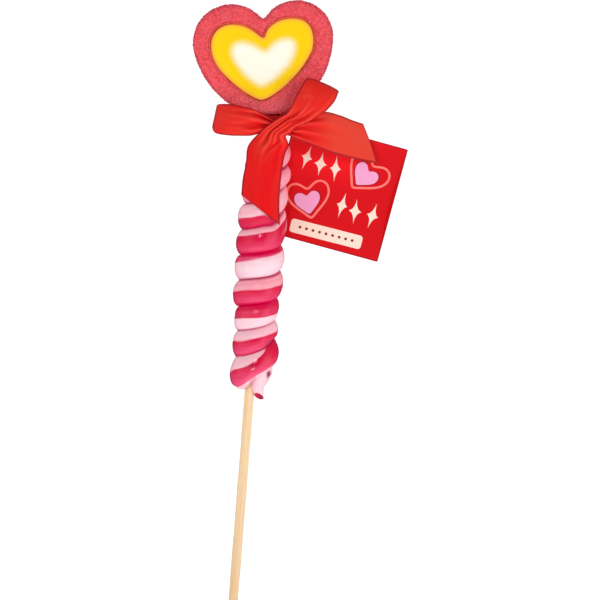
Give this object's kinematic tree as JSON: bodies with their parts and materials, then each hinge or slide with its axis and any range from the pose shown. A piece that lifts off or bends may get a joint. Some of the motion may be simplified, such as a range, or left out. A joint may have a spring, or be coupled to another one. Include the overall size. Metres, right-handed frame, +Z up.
{
  "type": "marshmallow lollipop",
  "caption": "Layered marshmallow heart on a wooden stick with a twisted two-tone hard candy coil below it, tied with a red satin bow and a square red gift tag, lying on its back.",
  "frame": {"origin": "on the surface it lies on, below the middle of the bounding box", "axes": "+Y along the stick from its free end towards the heart, +X to the right when the shown side is looked at with the heart up, +Z up, out of the shown side"},
  "size_m": [0.0956, 0.2762, 0.0315],
  "materials": {
    "stick": "plain sanded pale wood",
    "hard_candy": "glossy translucent sugar in crimson and pale pink bands",
    "red_marshmallow": "soft matte foam rolled in fine sugar",
    "yellow_marshmallow": "soft matte foam",
    "white_marshmallow": "soft matte foam",
    "ribbon": "woven satin with a soft sheen",
    "card": "printed coated card"
  },
  "bodies": {
    "root": {"stick": "stick", "candy_twist": "hard_candy", "heart_outer": "red_marshmallow", "heart_middle": "yellow_marshmallow", "heart_core": "white_marshmallow", "ribbon_bow": "ribbon", "gift_tag": "card"}
  },
  "joints": []
}
